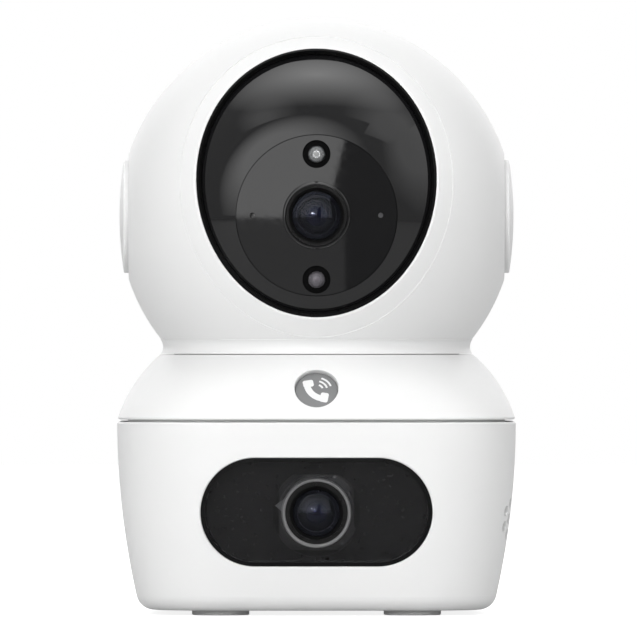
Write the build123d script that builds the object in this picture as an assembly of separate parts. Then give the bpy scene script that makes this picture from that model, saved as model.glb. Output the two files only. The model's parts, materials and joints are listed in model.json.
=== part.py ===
from build123d import *
import os
from math import acos, asin, cos, pi, radians, sin, sqrt, tan

# Two-lens pan-and-tilt home camera: a ball head with a tilting eye, on a squarish base.
# Millimetres. Origin on the table under the middle of the camera, +Z up, front towards -Y.

# ---- driving dimensions -------------------------------------------------------------------
HEAD_R = 40.0              # ball head, outside
HEAD_Z = 80.0              # height of the ball's centre and of the tilt axis
HEAD_WALL = 1.8
EAR_FLAT_X = 37.9          # flats on both sides of the ball
EAR_SEAT_X = 37.1          # floor of the round recess that each ear cap sits in
EAR_CAP_R = 11.4
BASE_HALF = 40.0           # half the width and depth of the base at its seam
BASE_CORNER = 20.0         # plan corner radius at the seam
BASE_WALL = 2.0
SEAM_Z = 38.9
SEAM_GAP = 0.5
BASE_BOTTOM_Z = 1.0        # the feet lift the housing this far
BOW_R = 160.0              # outward bow of the lower housing's sides
BOTTOM_FILLET = 3.6
SEAM_FILLET = 0.35
RIM_FILLET = 0.3           # small rounding of the edges that a hand meets
NECK_EDGE_FILLET = 0.15    # the top cover's edge under the head

# Shoulder of the top cover: an arc from the seam up to the rim under the head.
RIM_Z = 52.15
RIM_HALF = 31.6
SHOULDER_R = 27.0
BOWL_R = HEAD_R + 0.3      # hollow in the top cover that the ball turns in
BOWL_WALL = 2.0

# Neck skirt at the foot of the ball
SKIRT_Z = RIM_Z + 0.15
NECK_R = 31.0
NECK_Z = 53.7
NECK_FILLET = 2.4

# Eye, which tilts inside the head about X
EYE_R = 38.5
SWEEP_R = 38.75            # hollow in the shells that the dome turns in
SWEEP_HALF_X = 25.8
SWEEP_BACK_Y = 18.0        # how far behind the tilt axis the dome reaches when it looks up
EYE_WALL = 1.5
EYE_HALF_X = 25.3
EYE_SPAN = 75.0            # the dome covers this many degrees above and below the front
FACE_R = 16.2
WINDOW_RISE = 13.5         # the head's window looks up by this many degrees
WINDOW_A = 24.3            # half width and half height of the window on the ball
WINDOW_B = 28.0
TRIM_WALL = 0.5

# Pan drive
HUB_R = 8.0
HUB_BORE_R = 5.0
HUB_COLLAR_R = 10.5
HUB_LOW_Z = 32.7
BEARING_LOW_Z = 35.4
BEARING_TOP_Z = 38.9
GEAR_MODULE = 0.8
PRESSURE_ANGLE = radians(25.0)
TOOTH_HEIGHT = 0.8         # addendum, in modules
ROOT_DEPTH = 1.05          # dedendum, in modules
BACKLASH = 0.10            # taken off each tooth's thickness
PAN_GEAR_TEETH = 50
TILT_GEAR_TEETH = 30
PINION_TEETH = 10
SHAFT_R = 1.0
PINION_BORE_R = SHAFT_R + 0.03
TILT_GEAR_WIDTH = 2.2

# Lower camera
LOWER_LENS_Z = 20.6
LOWER_BOARD_Y = -21.8       # back face of the camera board
LOWER_BOARD_X = 11.0        # its screws, from the lens's axis
LOWER_BOARD_DZ = 7.0
PILL_Z = 20.75
PILL_W = 46.3
PILL_H = 21.7

# Call button, on the front of the shoulder
BUTTON_Z = 45.6
BUTTON_R = 4.15
BUTTON_GAP = 0.15
BUTTON_RECESS = 1.0         # how far the button's face sits below the shoulder

# Fastening pattern of the base
POST_X = 25.5
POST_Y = 12.0
POST_R = 3.2
FOOT_X = 19.2
FOOT_Y = 24.6
FOOT_R = 5.75
PLATE_HALF = 30.8
PLATE_CORNER = 11.0
PLATE_TOP_Z = 2.8

TOLERANCE = 0.05           # for telling edges apart

parts = {}


# ---- small building helpers ---------------------------------------------------------------
def block(x0, x1, y0, y1, z0, z1):
    size = (x1 - x0, y1 - y0, z1 - z0)
    return Pos((x0 + x1) / 2, (y0 + y1) / 2, (z0 + z1) / 2) * Box(*size)


def cyl_z(radius, z0, z1, x=0.0, y=0.0):
    return Pos(x, y, (z0 + z1) / 2) * Cylinder(radius, z1 - z0)


def cyl_y(radius, y0, y1, x=0.0, z=0.0):
    return Pos(x, (y0 + y1) / 2, z) * Rot(90, 0, 0) * Cylinder(radius, y1 - y0)


def cyl_x(radius, x0, x1, y=0.0, z=0.0):
    return Pos((x0 + x1) / 2, y, z) * Rot(0, 90, 0) * Cylinder(radius, x1 - x0)


def ball(radius):
    return Pos(0, 0, HEAD_Z) * Sphere(radius)


def rounded_prism(half, corner, z0, z1):
    return extrude(Pos(0, 0, z0) * RectangleRounded(2 * half, 2 * half, corner), z1 - z0)


def stadium_y(width, height, y0, y1, z):
    """A bar along Y whose section is a pill, width by height."""
    face = Plane.XZ * SlotOverall(width, height)
    return Pos(0, y1, z) * extrude(face, y1 - y0)


def union(shapes):
    shapes = list(shapes)
    total = shapes[0]
    for shape in shapes[1:]:
        total = total + shape
    return total


def save(name, shape):
    """Write one node: a solid, or a group of separate solids."""
    solids = list(shape.solids()) if hasattr(shape, "solids") else shape
    parts[name] = solids[0] if len(solids) == 1 else Compound(children=solids)


# ---- shapes that several pieces share -----------------------------------------------------
def wall_half(z, inset=0.0):
    """Half the lower housing's width at a height, with its side moved in by inset."""
    return BASE_HALF - BOW_R + sqrt((BOW_R - inset) ** 2 - (z - SEAM_Z) ** 2)


def bowed_block(inset, low, high, bottom_fillet=0.0, top_fillet=0.0):
    """The lower housing's outer form moved in by inset: a rounded square with bowed sides."""
    axis = BASE_HALF - BASE_CORNER

    def reach(z):
        return wall_half(z, inset) - axis

    middle = (low + high) / 2
    wall = ThreePointArc((reach(low), 0, low), (reach(middle), 0, middle), (reach(high), 0, high))
    outline = [
        Line((0, 0, low), (reach(low), 0, low)),
        wall,
        Line((reach(high), 0, high), (0, 0, high)),
        Line((0, 0, high), (0, 0, low)),
    ]
    profile = Face(Wire(outline))
    if bottom_fillet:
        outer = profile.vertices().sort_by(Axis.Z)[:2].sort_by(Axis.X)[-1]
        profile = profile.fillet_2d(bottom_fillet, [outer])
    if top_fillet:
        outer = profile.vertices().sort_by(Axis.Z)[-2:].sort_by(Axis.X)[-1]
        profile = profile.fillet_2d(top_fillet, [outer])
    pieces = [block(-axis, axis, -axis, axis, low, high)]
    for quarter in range(4):
        side = Pos(axis, -axis, 0) * extrude(profile, 2 * axis, dir=(0, 1, 0))
        corner = Pos(axis, axis, 0) * revolve(profile, Axis.Z, revolution_arc=90)
        pieces += [Rot(0, 0, 90 * quarter) * side, Rot(0, 0, 90 * quarter) * corner]
    return union(pieces)


def shoulder_centre():
    """Centre of the shoulder arc through the seam corner and the rim, as (half width, z)."""
    run, rise = RIM_HALF - BASE_HALF, RIM_Z - SEAM_Z
    chord = sqrt(run ** 2 + rise ** 2)
    depth = sqrt(SHOULDER_R ** 2 - (chord / 2) ** 2)
    x = (BASE_HALF + RIM_HALF) / 2 - depth * rise / chord
    z = (SEAM_Z + RIM_Z) / 2 + depth * run / chord
    return x, z


SHOULDER_X, SHOULDER_Z = shoulder_centre()


def shoulder_half(z, inset=0.0):
    return SHOULDER_X + sqrt((SHOULDER_R - inset) ** 2 - (z - SHOULDER_Z) ** 2)


def shoulder(inset, low, high, levels=6):
    """The top cover's outer form moved in by inset: square at the seam, round at the rim."""
    sections = []
    for level in range(levels):
        z = low + (high - low) * level / (levels - 1)
        blend = (z - SEAM_Z) / (RIM_Z - SEAM_Z)
        corner = BASE_CORNER + (RIM_HALF - 0.3 - BASE_CORNER) * blend - inset
        half = shoulder_half(z, inset)
        corner = min(corner, half - 0.3)
        sections.append(Pos(0, 0, z) * RectangleRounded(2 * half, 2 * half, corner))
    return loft(sections)


def window_cone(grow=0.0):
    """Elliptical cone from the ball's centre through the window, grown on the ball's surface."""
    reach = 60.0
    tan_a = tan(asin((WINDOW_A + grow) / HEAD_R))
    tan_b = tan(asin((WINDOW_B + grow) / HEAD_R))
    sections = []
    for distance in (2.0, reach):
        ring = Ellipse(distance * tan_a, distance * tan_b)
        sections.append(Pos(0, 0, distance) * ring)
    cone = loft(sections, ruled=True)
    # local +Z looks out of the window: forward, and up by the window's rise
    return Pos(0, 0, HEAD_Z) * Rot(90 - WINDOW_RISE, 0, 0) * cone


def front_wedge(half_angle, half_x, size=60.0):
    """Everything within half_angle of straight ahead, about the tilt axis."""
    edge_y = -size * cos(radians(half_angle))
    edge_z = size * sin(radians(half_angle))
    points = [(0, 0, 0), (0, edge_y, edge_z), (0, -size, edge_z), (0, -size, -edge_z),
              (0, edge_y, -edge_z)]
    face = Face(Wire.make_polygon([Vector(*point) for point in points], close=True))
    return Pos(-half_x, 0, HEAD_Z) * extrude(face, 2 * half_x, dir=(1, 0, 0))


def gear(teeth, width, bore_r, turn=0.0):
    """Involute spur gear on +Z from z = 0, with a tooth centred on +X when turn is 0."""
    pitch_r = GEAR_MODULE * teeth / 2
    base_r = pitch_r * cos(PRESSURE_ANGLE)
    tip_r = pitch_r + TOOTH_HEIGHT * GEAR_MODULE
    root_r = pitch_r - ROOT_DEPTH * GEAR_MODULE
    start_r = max(base_r, root_r) + 0.001

    def involute(angle):
        return tan(angle) - angle

    def half_angle(radius):
        flank = involute(PRESSURE_ANGLE) - involute(acos(base_r / radius))
        return pi / (2 * teeth) - BACKLASH / (2 * pitch_r) + flank

    def at(radius, angle):
        return (radius * cos(angle), radius * sin(angle), 0)

    edges = []
    for index in range(teeth):
        middle = 2 * pi * index / teeth + radians(turn)
        following = middle + 2 * pi / teeth
        mid_r = (start_r + tip_r) / 2
        low, mid, top = half_angle(start_r), half_angle(mid_r), half_angle(tip_r)
        edges += [
            Line(at(root_r, middle - low), at(start_r, middle - low)),
            ThreePointArc(at(start_r, middle - low), at(mid_r, middle - mid), at(tip_r, middle - top)),
            Line(at(tip_r, middle - top), at(tip_r, middle + top)),
            ThreePointArc(at(tip_r, middle + top), at(mid_r, middle + mid), at(start_r, middle + low)),
            Line(at(start_r, middle + low), at(root_r, middle + low)),
            Line(at(root_r, middle + low), at(root_r, following - low)),
        ]
    blank = extrude(Face(Wire(edges)), width, dir=(0, 0, 1))
    return blank - cyl_z(bore_r, -1, width + 1)


SMALL_SCREW = (1.5, 1.0, 0.7)


def screw_z(x, y, head_z, shank, head_r=1.9, head_h=1.3, shank_r=0.9):
    """Pan-head screw driven up from below: head under head_z, shank above it, cross recess."""
    head = cyl_z(head_r, head_z - head_h, head_z, x, y)
    recess = block(x - 1.1, x + 1.1, y - 0.25, y + 0.25, head_z - head_h, head_z - head_h + 0.7)
    recess += block(x - 0.25, x + 0.25, y - 1.1, y + 1.1, head_z - head_h, head_z - head_h + 0.7)
    return head + cyl_z(shank_r, head_z, head_z + shank, x, y) - recess


def screw_y(x, z, seat_y, shank, side, head_r=1.9, head_h=1.3, shank_r=0.9):
    """Pan-head screw along Y. side is +1 when the head is behind its seat, -1 when in front."""
    base = screw_z(0, 0, 0, shank, head_r, head_h, shank_r)
    return Pos(x, seat_y, z) * Rot(90 * side, 0, 0) * base


PAN_AXIS_GAP = GEAR_MODULE * (PAN_GEAR_TEETH + PINION_TEETH) / 2
TILT_AXIS_GAP = GEAR_MODULE * (TILT_GEAR_TEETH + PINION_TEETH) / 2


# ---- base ---------------------------------------------------------------------------------
USB_Z = 8.75
RESET_X = 11.0
RESET_Z = 9.6
RESET_R = 1.5
SD_X = -13.0
SD_Z = 8.1
BOARD_THICKNESS = 1.2       # of both camera boards
BOARD_LOW_Z = 5.5           # underside of the main board
BOARD_TOP_Z = 7.1
HOLE_R = 1.15               # speaker holes
HOLE_PITCH = 3.1
SPEAKER_Y = -17.8
SPEAKER_Z = 19.25
MOTOR_TOP_Z = 28.5
MOTOR_EAR_X = 13.0
BOARD_HOLE_X = 18.5
BOARD_HOLES_Y = (-22.0, 13.0)


def speaker_holes():
    """Hexagonal field of round holes, drilled along X through the right wall."""
    holes = []
    for column in range(-3, 4):
        count = 5 - abs(column)
        y = SPEAKER_Y + column * HOLE_PITCH * cos(radians(30))
        for row in range(count):
            z = SPEAKER_Z + (row - (count - 1) / 2) * HOLE_PITCH
            holes.append(cyl_x(HOLE_R, 30, 42, y, z))
    return union(holes)


def on_pill_rim(edge):
    """True for an edge of the pill-shaped window where it meets the housing's outer face."""
    point = edge.position_at(0.5)
    past_straight = max(0.0, abs(point.X) - (PILL_W - PILL_H) / 2)
    from_outline = sqrt(past_straight ** 2 + (point.Z - PILL_Z) ** 2) - PILL_H / 2
    past_flat = max(0.0, abs(point.X) - (BASE_HALF - BASE_CORNER))
    corner_drop = BASE_CORNER - sqrt(BASE_CORNER ** 2 - past_flat ** 2)
    near_outside = point.Y < corner_drop - wall_half(point.Z, BASE_WALL / 4)
    return near_outside and abs(from_outline) < TOLERANCE


def base_housing():
    shell = bowed_block(0.0, BASE_BOTTOM_Z, SEAM_Z - SEAM_GAP / 2, BOTTOM_FILLET, SEAM_FILLET)
    shell -= bowed_block(BASE_WALL, 3.0, SEAM_Z + 1.0)
    shell -= rounded_prism(PLATE_HALF + 0.1, PLATE_CORNER + 0.1, 0, 4)
    shell -= stadium_y(PILL_W, PILL_H, -50, -30, PILL_Z)
    shell = fillet([edge for edge in shell.edges() if on_pill_rim(edge)], RIM_FILLET)
    shell -= stadium_y(9.5, 3.8, 30, 50, USB_Z)
    shell -= cyl_y(RESET_R + 0.15, 30, 50, RESET_X, RESET_Z)
    shell -= block(SD_X - 5.9, SD_X + 5.9, 30, 50, SD_Z - 0.8, SD_Z + 0.8)
    shell -= speaker_holes()
    return shell


def button_place():
    """Frame of the call button: its origin on the shoulder, its Z axis out along the normal."""
    normal_rise = asin((BUTTON_Z - SHOULDER_Z) / SHOULDER_R)
    origin = (0, -shoulder_half(BUTTON_Z), BUTTON_Z)
    normal = (0, -cos(normal_rise), sin(normal_rise))
    return Plane(origin=origin, x_dir=(1, 0, 0), z_dir=normal).location


BUTTON = button_place()
TUBE_DEPTH = 7.2            # the button's guide tube reaches this far in
TONGUE_WALL = 1.2           # rib of the top cover that drops inside the lower housing


def base_top_cover():
    low = SEAM_Z + SEAM_GAP / 2
    outer = shoulder(0.0, low, RIM_Z)
    outer = fillet(outer.edges().group_by(Axis.Z)[0], SEAM_FILLET)
    outer = fillet(outer.edges().group_by(Axis.Z)[-1], NECK_EDGE_FILLET)
    bowl_outside = ball(BOWL_R + BOWL_WALL)
    cavity = shoulder(BASE_WALL + 0.1, low, RIM_Z) - bowl_outside
    cover = outer - cavity
    boss = cyl_z(HUB_COLLAR_R + 3.0, BEARING_LOW_Z, 43)
    tongue_inset = BASE_WALL + 0.2
    tongue_half, tongue_corner = BASE_HALF - tongue_inset, BASE_CORNER - tongue_inset
    tongue = rounded_prism(tongue_half, tongue_corner, SEAM_Z - 2.0, 41.2)
    tongue -= rounded_prism(tongue_half - TONGUE_WALL, tongue_corner - TONGUE_WALL, 36, 42)
    envelope = outer + rounded_prism(tongue_half, tongue_corner, 1, low + 0.1)
    posts = [cyl_z(POST_R, PLATE_TOP_Z, 50, x, y) for x in (-POST_X, POST_X) for y in (-POST_Y, POST_Y)]
    posts += [cyl_z(2.5, MOTOR_TOP_Z + 0.8, 50, x, PAN_AXIS_GAP) for x in (-MOTOR_EAR_X, MOTOR_EAR_X)]
    guide = BUTTON * Pos(0, 0, -TUBE_DEPTH / 2) * Cylinder(7.2, TUBE_DEPTH)
    inside = union(posts + [tongue, guide]) & envelope
    cover = cover + boss + inside
    cover -= ball(BOWL_R)
    cover -= cyl_z(HUB_COLLAR_R + 0.4, BEARING_TOP_Z, 45)
    cover -= cyl_z(HUB_COLLAR_R, BEARING_LOW_Z - 1, BEARING_TOP_Z)
    cover -= BUTTON * Cylinder(BUTTON_R + BUTTON_GAP, 30)
    cover -= BUTTON * Pos(0, 0, -2.4 - TUBE_DEPTH / 2) * Cylinder(5.7, TUBE_DEPTH)
    cover -= BUTTON * Cone(BUTTON_R + BUTTON_GAP, BUTTON_R + 3 * BUTTON_GAP, 1.2)
    for x in (-POST_X, POST_X):
        for y in (-POST_Y, POST_Y):
            cover -= cyl_z(0.9, 2, 14, x, y)
    for x in (-MOTOR_EAR_X, MOTOR_EAR_X):
        cover -= cyl_z(0.9, 29, 36, x, PAN_AXIS_GAP)
    return cover


def bottom_plate():
    plate = rounded_prism(PLATE_HALF, PLATE_CORNER, BASE_BOTTOM_Z, PLATE_TOP_Z)
    plate += cyl_z(7.0, PLATE_TOP_Z, 9.0)
    for x in (-BOARD_HOLE_X, BOARD_HOLE_X):
        for y in BOARD_HOLES_Y:
            plate += cyl_z(2.5, PLATE_TOP_Z, BOARD_LOW_Z, x, y)
            plate -= cyl_z(0.7, 2.2, 6, x, y)
    for x in (-FOOT_X, FOOT_X):
        for y in (-FOOT_Y, FOOT_Y):
            plate -= cyl_z(FOOT_R + 0.1, 0, 1.6, x, y)
    for x in (-POST_X, POST_X):
        for y in (-POST_Y, POST_Y):
            plate -= cyl_z(1.1, 0, 4, x, y)
            plate -= cyl_z(2.2, 0, 2.4, x, y)
    plate -= cyl_z(5.0, 0, 8.0)
    return plate


TRIPOD_R = 2.6              # tap-drill radius of a 1/4 inch - 20 thread
TRIPOD_DEPTH = 6.0


def tripod_insert():
    body = cyl_z(5.0, BASE_BOTTOM_Z, 8.0)
    return body - cyl_z(TRIPOD_R, 0, BASE_BOTTOM_Z + TRIPOD_DEPTH)


def rubber_feet():
    feet = []
    for x in (-FOOT_X, FOOT_X):
        for y in (-FOOT_Y, FOOT_Y):
            foot = cyl_z(FOOT_R, 0, 1.6, x, y)
            rim = foot.edges().group_by(Axis.Z)[0]
            feet.append(fillet(rim, 0.35))
    return Compound(children=[solid for foot in feet for solid in foot.solids()])


def housing_screws():
    """Four screws up through the bottom plate, and two that hold the pan motor."""
    screws = [screw_z(x, y, 2.4, 9.5) for x in (-POST_X, POST_X) for y in (-POST_Y, POST_Y)]
    screws += [screw_z(x, PAN_AXIS_GAP, MOTOR_TOP_Z, 6.0) for x in (-MOTOR_EAR_X, MOTOR_EAR_X)]
    return union(screws)


def lower_window_frame():
    """Black pill-shaped frame in the front wall, with a back plate around the lens."""
    region = block(-30, 30, -41, -20, 4, 36)
    ring = stadium_y(PILL_W - 0.1, PILL_H - 0.1, -50, -29.8, PILL_Z)
    ring -= stadium_y(PILL_W - 1.7, PILL_H - 1.7, -50, -31.0, PILL_Z)
    ring = ring & bowed_block(0.25, 4, 37)
    flange = stadium_y(PILL_W + 4.5, PILL_H + 4.5, -50, -30, PILL_Z)
    flange -= stadium_y(PILL_W - 1.0, PILL_H - 1.0, -51, -20, PILL_Z)
    flange = flange & (bowed_block(BASE_WALL + 0.05, 4, 37) - bowed_block(BASE_WALL + 1.3, 3, 38)) & region
    frame = ring + flange - cyl_y(8.9, -40, -25, 0, LOWER_LENS_Z)
    for x in (-LOWER_BOARD_X, LOWER_BOARD_X):
        for dz in (-LOWER_BOARD_DZ, LOWER_BOARD_DZ):
            frame += cyl_y(1.7, -29.9, LOWER_BOARD_Y - BOARD_THICKNESS, x, LOWER_LENS_Z + dz)
            frame -= cyl_y(0.7, -28.0, LOWER_BOARD_Y, x, LOWER_LENS_Z + dz)
    return frame


def lower_window():
    """Smoked pane, with a round hole that the lens stands in."""
    pane = stadium_y(PILL_W - 1.8, PILL_H - 1.8, -50, -30, PILL_Z)
    pane -= cyl_y(LOWER_RING_R + 0.1, -50, -30, 0, LOWER_LENS_Z)
    layer = bowed_block(0.45, 4, 37) - bowed_block(1.45, 3, 38)
    return pane & layer & block(-30, 30, -41, -30, 4, 37)


def lens_holder(front_y, block_y, board_y, tube_r=7.6, bore_r=6.1, lugs=()):
    """Square foot on the board, with a tube that the barrel screws into."""
    holder = block(-7.5, 7.5, block_y, board_y, -7.5, 7.5) + cyl_y(tube_r, front_y, block_y)
    for angle in lugs:
        lug = block(tube_r - 0.8, tube_r + 0.7, front_y, front_y + 1.5, -2.2, 2.2)
        holder += Rot(0, -angle, 0) * lug
    holder -= cyl_y(bore_r, front_y - 1, block_y + 2)
    holder -= block(-5.5, 5.5, block_y + 1.5, board_y + 1, -5.5, 5.5)
    return holder


def lens_barrel(front_y, back_y, outer_r, glass_r):
    """Barrel with a stepped mouth in front of the glass and a narrow throat behind it."""
    barrel = cyl_y(outer_r, front_y, back_y)
    barrel -= cyl_y(glass_r + 0.4, front_y - 1, front_y + 0.5)
    barrel -= cyl_y(glass_r, front_y, front_y + 2.6)
    barrel -= cyl_y(glass_r - 1.2, front_y, front_y + 4.2)
    barrel -= cyl_y(2.2, front_y, back_y + 1)
    return barrel


def lens_glass(front_y, glass_r, sag=1.3, edge=0.9):
    """Front element: a spherical cap on a short cylinder, with a flat back."""
    radius = (glass_r ** 2 + sag ** 2) / (2 * sag)
    cap = Pos(0, front_y + radius, 0) * Sphere(radius)
    cap = cap & cyl_y(glass_r, front_y - 1, front_y + sag)
    return cap + cyl_y(glass_r, front_y + sag, front_y + sag + edge)


def lens_ring(front_y, back_y, outer_r, inner_r):
    ring = cyl_y(outer_r, front_y, back_y) - cyl_y(inner_r, front_y - 1, back_y + 1)
    return chamfer(ring.edges().filter_by(GeomType.CIRCLE).group_by(Axis.Y)[0], 0.2)


def board_y(half_x, half_z, back_y, hole_x, hole_z, hole_r=1.0):
    """Upright circuit board with a hole in each corner."""
    face = Plane.XZ * RectangleRounded(2 * half_x, 2 * half_z, 2.0)
    board = Pos(0, back_y, 0) * extrude(face, BOARD_THICKNESS)
    for x in (-hole_x, hole_x):
        for z in (-hole_z, hole_z):
            board -= cyl_y(hole_r, back_y - 3, back_y + 1, x, z)
    return board


def image_sensor(board_front):
    return block(-3.6, 3.6, board_front - 0.9, board_front, -2.8, 2.8)


def base_parts():
    save("base_housing", base_housing())
    save("base_top_cover", base_top_cover())
    save("bottom_plate", bottom_plate())
    save("tripod_insert", tripod_insert())
    save("rubber_feet", rubber_feet())
    save("housing_screws", housing_screws())
    save("lower_window_frame", lower_window_frame())
    save("lower_window", lower_window())


LOWER_FRONT_Y = -37.9
LOWER_BARREL_R = 6.25
LOWER_RING_R = 6.95


def lower_lens_ring():
    """Ring round the lens, with a pointed tab behind the window at its left."""
    corners = [(8.45, 170), (6.6, 150), (6.6, 180)]
    points = []
    for radius, turn in corners:
        points.append(Vector(radius * cos(radians(turn)), -36.0, radius * sin(radians(turn))))
    tab = extrude(Face(Wire.make_polygon(points, close=True)), 1.0, dir=(0, -1, 0))
    ring = lens_ring(LOWER_FRONT_Y, -34.5, LOWER_RING_R, LOWER_BARREL_R)
    return ring + (tab - cyl_y(LOWER_BARREL_R, -40, -30))


def lower_camera_parts():
    place = Pos(0, 0, LOWER_LENS_Z)
    board_front = LOWER_BOARD_Y - BOARD_THICKNESS
    holder = lens_holder(-34.4, -27.0, board_front, bore_r=LOWER_BARREL_R, lugs=(50, -37))
    save("lower_lens_holder", place * holder)
    save("lower_lens_ring", place * lower_lens_ring())
    save("lower_lens_barrel", place * lens_barrel(LOWER_FRONT_Y + 0.2, -26.0, LOWER_BARREL_R, 5.0))
    save("lower_lens_glass", place * lens_glass(LOWER_FRONT_Y + 0.5, 4.9))
    board = board_y(14, 9.5, LOWER_BOARD_Y, LOWER_BOARD_X, LOWER_BOARD_DZ)
    save("lower_camera_board", place * board)
    save("lower_image_sensor", place * image_sensor(board_front))


def board_screws():
    """Small screws of the main board, from above, and of the lower camera board, from behind."""
    screws = []
    for x in (-BOARD_HOLE_X, BOARD_HOLE_X):
        for y in BOARD_HOLES_Y:
            screws.append(Pos(x, y, BOARD_TOP_Z) * Rot(180, 0, 0) * screw_z(0, 0, 0, 4.2, *SMALL_SCREW))
    for x in (-LOWER_BOARD_X, LOWER_BOARD_X):
        for dz in (-LOWER_BOARD_DZ, LOWER_BOARD_DZ):
            screws.append(screw_y(x, LOWER_LENS_Z + dz, LOWER_BOARD_Y, 4.2, 1, *SMALL_SCREW))
    return union(screws)


def electronics_parts():
    board = block(-21.5, 21.5, -28.0, 33.5, BOARD_LOW_Z, BOARD_TOP_Z)
    board = fillet(board.edges().filter_by(Axis.Z), 2.0)
    board -= cyl_z(7.6, 5, 8)
    for x in (-BOARD_HOLE_X, BOARD_HOLE_X):
        for y in BOARD_HOLES_Y:
            board -= cyl_z(1.0, 5, 8, x, y)
    save("main_board", board)
    shield = block(-15, 3, 9.5, 18.5, BOARD_TOP_Z, 8.9)
    save("processor_shield", fillet(shield.edges().filter_by(Axis.Z), 0.8))
    chips = [
        block(7, 15, 10, 18, BOARD_TOP_Z, 8.2),
        block(-18, -10.5, -14, -6.5, BOARD_TOP_Z, 8.3),
        block(10, 16, -16, -10, BOARD_TOP_Z, 8.1),
        block(-8, -2, -24, -18, BOARD_TOP_Z, 8.9),
        cyl_z(2.6, BOARD_TOP_Z, 12.0, 15.5, 22.5),
    ]
    save("board_chips", union(chips))
    sockets = []
    for x0, y0 in ((9.5, -6), (-19.5, 4), (9.5, 2)):
        socket = block(x0, x0 + 9, y0, y0 + 4.2, BOARD_TOP_Z, 11.6)
        socket -= block(x0 + 0.8, x0 + 8.2, y0 + 0.8, y0 + 3.4, 8.4, 12)
        sockets.append(socket)
    save("wire_sockets", union(sockets))
    usb = stadium_y(8.94, 3.26, 29.5, 36.7, USB_Z) - stadium_y(8.3, 2.6, 30.5, 38, USB_Z)
    usb += block(-3.3, 3.3, 30.4, 35.9, USB_Z - 0.35, USB_Z + 0.35)
    save("usb_power_socket", usb)
    card = block(SD_X - 6.9, SD_X + 6.9, 20.0, 34.4, BOARD_TOP_Z, 9.0)
    card -= block(SD_X - 5.6, SD_X + 5.6, 21.0, 35.0, 7.6, 8.6)
    save("memory_card_slot", card)
    switch = block(RESET_X - 2.6, RESET_X + 2.6, 28.6, 32.0, BOARD_TOP_Z, 12.1)
    switch += cyl_y(1.0, 31.9, 32.5, RESET_X, RESET_Z)
    save("reset_switch", switch)
    antenna = block(-35.0, -34.6, -8, 22, 21, 29)
    save("wifi_antenna", antenna)
    speaker = cyl_x(9.5, 31.0, 33.8, SPEAKER_Y, SPEAKER_Z)
    speaker -= cyl_x(8.2, 33.0, 35, SPEAKER_Y, SPEAKER_Z)
    speaker += cyl_x(3.6, 32.5, 33.5, SPEAKER_Y, SPEAKER_Z)
    save("speaker", speaker + cyl_x(5.6, 29.1, 31.0, SPEAKER_Y, SPEAKER_Z))


def handset_icon():
    """Generic telephone handset with three sound arcs, drawn flat on the button's face."""
    def band(cx, cy, radius, width, start, sweep):
        inner, outer = radius - width / 2, radius + width / 2
        a0, a1 = radians(start), radians(start + sweep)
        am = (a0 + a1) / 2
        points = [(cx + r * cos(a), cy + r * sin(a)) for r in (inner, outer) for a in (a0, am, a1)]
        edges = [
            ThreePointArc(points[0], points[1], points[2]),
            Line(points[2], points[5]),
            ThreePointArc(points[5], points[4], points[3]),
            Line(points[3], points[0]),
        ]
        return Sketch() + make_face(edges)

    icon = band(1.6, 1.6, 3.5, 1.3, 190, 70)
    for cx, cy, turn in ((-1.65, 1.55, 10), (1.55, -1.65, 80)):
        icon += Pos(cx, cy) * Rot(0, 0, turn) * RectangleRounded(2.1, 1.6, 0.4)
    for radius, sweep in ((1.3, 46), (2.15, 60), (3.0, 52)):
        icon += band(0.0, 0.0, radius, 0.38, 45 - sweep / 2, sweep)
    return icon


def button_face(below):
    """Everything inside the shoulder's arc moved in by below, near the button."""
    return Pos(0, -SHOULDER_X, SHOULDER_Z) * Rot(0, 90, 0) * Cylinder(SHOULDER_R - below, 30)


def call_button_parts():
    cap = BUTTON * Pos(0, 0, -1.0) * Cylinder(BUTTON_R, 4.0)
    cap += BUTTON * Pos(0, 0, -2.9) * Cylinder(5.4, 0.8)
    cap += BUTTON * Pos(0, 0, -3.9) * Cylinder(1.3, 1.4)
    cap = cap & button_face(BUTTON_RECESS)
    icon = BUTTON * Pos(0, 0, -BUTTON_RECESS - 0.4) * extrude(handset_icon(), 1.0)
    icon = icon & button_face(BUTTON_RECESS - 0.03)
    save("call_button", cap - icon)
    save("call_button_icon", icon)
    board = BUTTON * Pos(0, 0, -TUBE_DEPTH - 0.6) * Box(15, 13, 1.2)
    save("call_switch_board", board)
    switch = BUTTON * Pos(0, 0, -TUBE_DEPTH + 0.9) * Box(5.2, 5.2, 1.8)
    switch += BUTTON * Pos(0, 0, -TUBE_DEPTH + 1.8) * Cylinder(1.5, 0.3)
    save("call_switch", switch)


def reset_button():
    pin = cyl_y(RESET_R, 33.2, 37.25, RESET_X, RESET_Z)
    return pin + cyl_y(2.2, 33.9, 34.7, RESET_X, RESET_Z)


def pan_drive_parts():
    bearing = cyl_z(HUB_COLLAR_R, BEARING_LOW_Z, BEARING_TOP_Z) - cyl_z(HUB_R + 0.05, 30, 45)
    save("pan_bearing", bearing)
    top = MOTOR_TOP_Z
    motor = cyl_z(10.0, 14.5, top, 0, PAN_AXIS_GAP) + cyl_z(3.0, top, top + 1.0, 0, PAN_AXIS_GAP)
    motor += cyl_z(SHAFT_R, top, 34.6, 0, PAN_AXIS_GAP)
    flange = SlotCenterToCenter(2 * MOTOR_EAR_X, 6.8)
    motor += Pos(0, PAN_AXIS_GAP, top) * extrude(flange, 0.8)
    motor += block(-6, 6, 13.0, 15.5, 16, 26)
    for x in (-MOTOR_EAR_X, MOTOR_EAR_X):
        motor -= cyl_z(1.0, 27, 31, x, PAN_AXIS_GAP)
    save("pan_motor", motor)
    pinion = gear(PINION_TEETH, 4.0, PINION_BORE_R, 18.0)
    save("pan_pinion", Pos(0, PAN_AXIS_GAP, 31.0) * pinion)


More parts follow.
